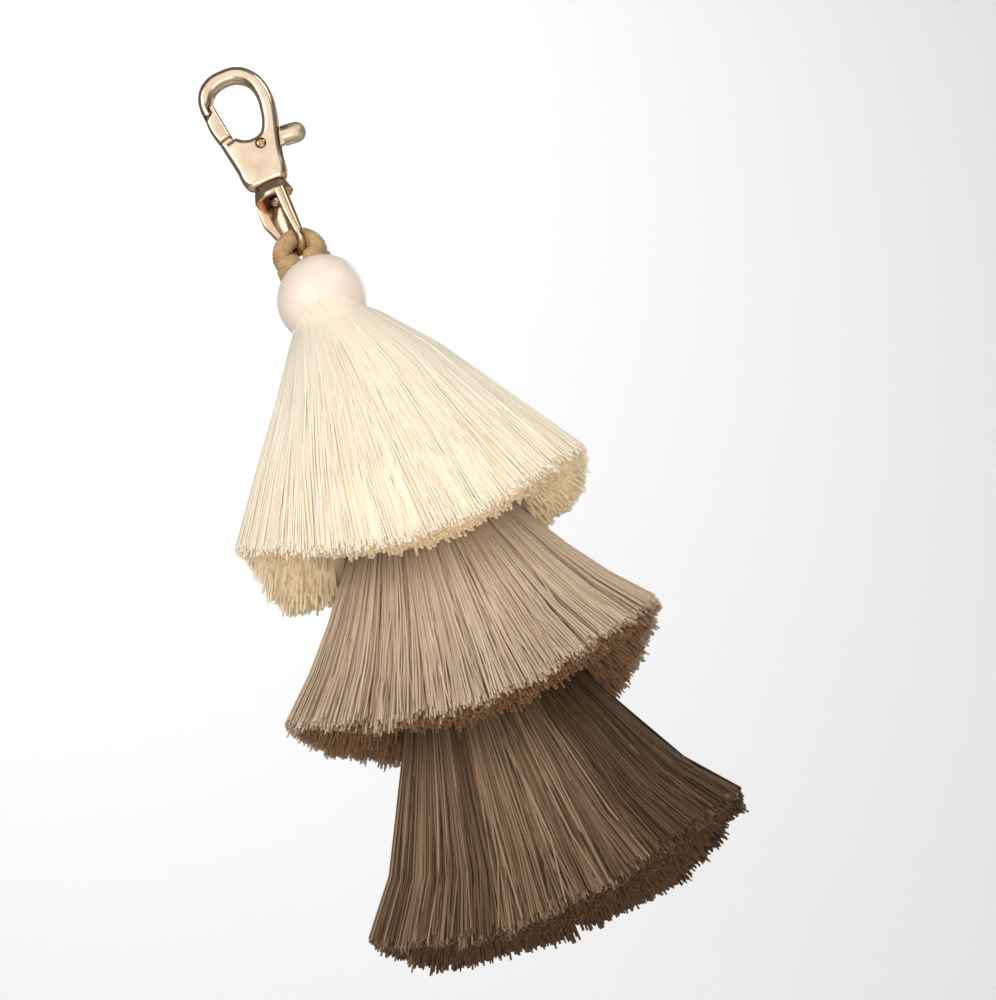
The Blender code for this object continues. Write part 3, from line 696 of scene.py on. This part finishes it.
def yarn_paths(tier, layer, chance):
    """Centre lines of a layer's yarn in millimetres, as an array of strand, knot and xyz.

    With them come each strand's turn, its lock, and its rank in the layer: 0 innermost, 1 outermost.
    """
    count, low, high = layer["count"], layer["low"], layer["high"]
    start_turn = (np.arange(count) + chance.uniform(-0.5, 0.5, count)) / count * 2 * np.pi
    chance.shuffle(start_turn)
    share = np.sqrt(chance.uniform(low**2, high**2, count))
    rank = (share - low) / (high - low)
    pitch = 2 * np.pi / LOCKS
    lock = np.round(start_turn / pitch).astype(int) % LOCKS
    lean = chance.normal(0.0, LOCK_LEAN, LOCKS)[lock]
    lock_trim = chance.normal(0.0, tier["ragged"], LOCKS)[lock]
    t = np.array(layer["knots"])[None]
    reach, drop = tier_line(tier, share[:, None], t)
    end = hem_height(tier, start_turn, share) + lock_trim + chance.normal(0.0, END_SPREAD, count)
    end = end + layer["recess"] * np.clip(np.cos(start_turn) + 0.35, 0.0, 1.0)
    toward = (np.round(start_turn / pitch) * pitch - start_turn)[:, None]
    pull = tier["gather"] * toward * np.sin(np.pi * np.clip(t * 0.8 + 0.1, 0, 1))
    sway = chance.normal(0.0, STRAND_SWAY, count)[:, None] * t**1.3
    waves, start = chance.uniform(1.0, 3.0, count)[:, None], chance.uniform(0, 6.28, count)[:, None]
    wave = chance.normal(0.0, STRAND_WAVE, count)[:, None] * np.sin(t * np.pi * waves + start)
    wave = wave * np.minimum(t * 3, 1.0)
    turn = start_turn[:, None] + pull + sway + wave + lean[:, None] * t
    reach = reach + chance.normal(0.0, REACH_SPREAD, count)[:, None] * np.minimum(t * 2, 1.0)
    paths = tier_place(tier, reach, turn, t, drop, end[:, None])
    if "crown" in tier and layer["crown"]:
        paths = np.concatenate([crown_paths(tier, start_turn, rank, chance), paths], axis=1)
    return paths, start_turn, lock, rank


def crown_paths(tier, turn, rank, chance):
    """The yarn's way over the bead's lower half, from an arched edge down to the tier's own start."""
    foot = tier["profile"][0][1]
    edge = tier["crown"] - tier["arch"] * np.sin(turn) ** 2 + chance.normal(0.0, CROWN_SPREAD, len(turn))
    knots = []
    for share, low, high in ((0.0, -0.25, 0.05), (0.55, 0.2, 0.9)):
        z = edge + (foot - edge) * share
        reach = np.sqrt(BEAD_RADIUS**2 - (z - BEAD_Z) ** 2) + low + (high - low) * rank
        knots.append(np.stack([reach * np.sin(turn), -reach * np.cos(turn), z], axis=1))
    return np.stack(knots, axis=1)


def paint_strands(mesh, *parts):
    """Gives each vertex its three values for the yarn's finish."""
    values = np.ones((len(mesh.vertices), 4))
    for channel, part in enumerate(parts):
        values[:, channel] = part
    colour = mesh.color_attributes.new("strand", "FLOAT_COLOR", "POINT")
    colour.data.foreach_set("color", values.ravel())


def lay_yarn(name, paths, tone, thickness, inside):
    """Lays one strand of yarn along each path and gives each its own tone."""
    count, knots = paths.shape[:2]
    piece = empty_cord(0)
    places = np.ones((count, knots, 4))
    places[:, :, :3] = paths * MM
    for strand in range(count):
        spline = piece.data.splines.new("POLY")
        spline.points.add(knots - 1)
        spline.points.foreach_set("co", places[strand].ravel())
        spline.points.foreach_set("radius", np.full(knots, thickness[strand]))
    piece = curve_to_mesh(piece, name)
    mesh = piece.data
    # The mesh starts with 8 vertices for the two ends of each strand, the last strand first. Each strand's
    # sides follow, with 4 vertices at each knot.
    caps, sides = np.arange(8 * count), np.arange(4 * knots * count)
    strand = np.concatenate([count - 1 - caps // 8, sides // (4 * knots)])
    t = np.concatenate([1.0 - caps // 4 % 2, (sides // 4 % knots) / (knots - 1)])
    paint_strands(mesh, tone[strand], t, inside)
    close_seams(outward=False)
    bpy.ops.object.shade_smooth()
    cut_edges = set()
    for face in mesh.polygons:
        if face.loop_total == 3:
            cut_edges.update(mesh.loops[corner].edge_index for corner in face.loop_indices)
    for edge in cut_edges:
        mesh.edges[edge].use_edge_sharp = True
    return piece


def packed_core(name, tier):
    """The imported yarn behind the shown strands: a hollow bell, seen only between them.

    It is a ball drawn out: down is the way from its top pole, 0, over the bell's outside and rim, and up
    inside to the roof of the hollow at its bottom pole, 1.
    """
    bpy.ops.mesh.primitive_uv_sphere_add(segments=80, ring_count=48, radius=1.0)
    core = bpy.context.object
    core.name = core.data.name = name + "_core"
    unit = np.empty(len(core.data.vertices) * 3)
    core.data.vertices.foreach_get("co", unit)
    x, y, z = unit.reshape(-1, 3).T
    turn = np.arctan2(x, -y)
    down = np.arccos(np.clip(z, -1.0, 1.0)) / np.pi
    outside, rim, roof, lowest = tier["core"]
    neck = outside - 0.045
    stations = [0.0, 0.05, 0.3, 0.55, 0.62, 0.75, 0.95, 1.0]
    share = np.interp(down, stations, [0.0, neck, outside, outside, outside - 0.03, rim, roof, 0.0])
    t = np.interp(down, stations, [0.02, 0.02, 0.5, lowest - 0.01, lowest, lowest, 0.5, 0.5])
    reach, drop = tier_line(tier, np.maximum(share, 0.02), t)
    reach = reach * np.minimum(share / 0.1, 1.0)
    places = tier_place(tier, reach, turn, t, drop, hem_height(tier, turn, share))
    core.data.vertices.foreach_set("co", (places * MM).ravel())
    # Painted shade: the core takes a deeper tone, and its underside takes the painted shade colour of the
    # hem's underside
    below = down > 0.58
    paint_strands(core.data, CORE_SHADE_TONE, below, below)
    core.data.update()
    hand_over(core, YARNS[name], "tassel", name + "_yarn", smooth=80)


def hang_tier(name, seed):
    """One tier: its core, the inner yarn that fills the hem, and the outer yarn, shown along its length."""
    tier = TIERS[name]
    packed_core(name, tier)
    chance = np.random.RandomState(seed)
    for layer_name, layer in tier["layers"].items():
        paths, turn, lock, rank = yarn_paths(tier, layer, chance)
        count, inside = layer["count"], layer["inside"]
        tone = 0.5 + chance.normal(0.0, LOCK_TONE, lock.max() + 1)[lock]
        tone = tone + chance.normal(0.0, STRAND_TONE, count)
        # Painted shade: the inner layer and the inner strands of the outer layer are made deeper in tone
        tone = tone - inside * INNER_SHADE + (1.0 - inside) * OUTER_SHADE_FADE * (rank - OUTER_EVEN)
        # Painted shade: the strands on the tier's shaded side are made deeper in tone
        shaded = np.clip(np.sign(tier["painted_side_shade"]) * np.sin(turn - SIDE_SHADE_START) * SIDE_SHADE_EDGE, 0.0, 1.0)
        tone = np.clip(tone - abs(tier["painted_side_shade"]) * shaded, 0.0, 1.0)
        thickness = layer["thickness"] * chance.uniform(1 - THICKNESS_SPREAD, 1 + THICKNESS_SPREAD, count)
        yarn = lay_yarn(f"{name}_{layer_name}_yarn", paths, tone, thickness, inside)
        nodes = ("fringe_" + name,) if layer_name == "outer" else ()
        hand_over(yarn, YARNS[name], "tassel", name + "_yarn", *nodes, smooth=None)


# ---------------------------------------------------------------- studio


def stage_sheet(name, place, lean):
    """A wide plain sheet of the studio, leant up from level by an angle in degrees."""
    bpy.ops.mesh.primitive_plane_add(size=SHEET_SIZE, location=place, rotation=(math.radians(lean), 0.0, 0.0))
    sheet = settle(bpy.context.object, name)
    sheet.data.materials.append(studio_finish("pale_" + name))
    return sheet


def soft_light(name, place, aim, size, power, colour):
    bpy.ops.object.light_add(type="AREA", location=place)
    light = bpy.context.object
    light.name = name
    light.data.shape = "DISK"
    light.data.size = size
    light.data.energy = power
    light.data.color = colour
    light.rotation_euler = (Vector(aim) - Vector(place)).to_track_quat("-Z", "Y").to_euler()


def studio():
    """A pale floor and backdrop, and soft light."""
    floor = stage_sheet("floor", FLOOR_PLACE, 0)
    backdrop = stage_sheet("backdrop", BACKDROP_PLACE, 90)
    for name, values in LIGHTS.items():
        soft_light(name, *values)
    world = bpy.data.worlds.new("studio")
    bpy.context.scene.world = world
    world.use_nodes = True
    room = world.node_tree.nodes["Background"]
    room.inputs["Color"].default_value = (*ROOM_COLOUR, 1.0)
    room.inputs["Strength"].default_value = ROOM_STRENGTH
    bpy.context.scene.view_settings.view_transform = "Standard"


def camera_in_front():
    """The camera, which looks up at the charm and is rolled."""
    toward = Vector((0.0, -math.cos(CAMERA_RISE), math.sin(CAMERA_RISE)))
    upright = Vector((0.0, math.sin(CAMERA_RISE), math.cos(CAMERA_RISE)))
    across = Vector((1.0, 0.0, 0.0))
    right = across * math.cos(CAMERA_ROLL) - upright * math.sin(CAMERA_ROLL)
    up = across * math.sin(CAMERA_ROLL) + upright * math.cos(CAMERA_ROLL)
    bpy.ops.object.camera_add(location=CAMERA_TARGET + toward * CAMERA_DISTANCE)
    camera = bpy.context.object
    axes = Matrix((right, up, toward)).transposed().to_4x4()
    camera.matrix_world = Matrix.Translation(camera.location) @ axes
    camera.data.lens = CAMERA_LENS
    camera.data.clip_start, camera.data.clip_end = 0.01, 20.0
    bpy.context.scene.camera = camera


cast_hook()
rivet_pin()
gate_lever()
stirrup_eye()
wound_loop()
round_bead()
hang_tier("cream", seed=21)
hang_tier("beige", seed=22)
hang_tier("taupe", seed=23)
studio()
camera_in_front()
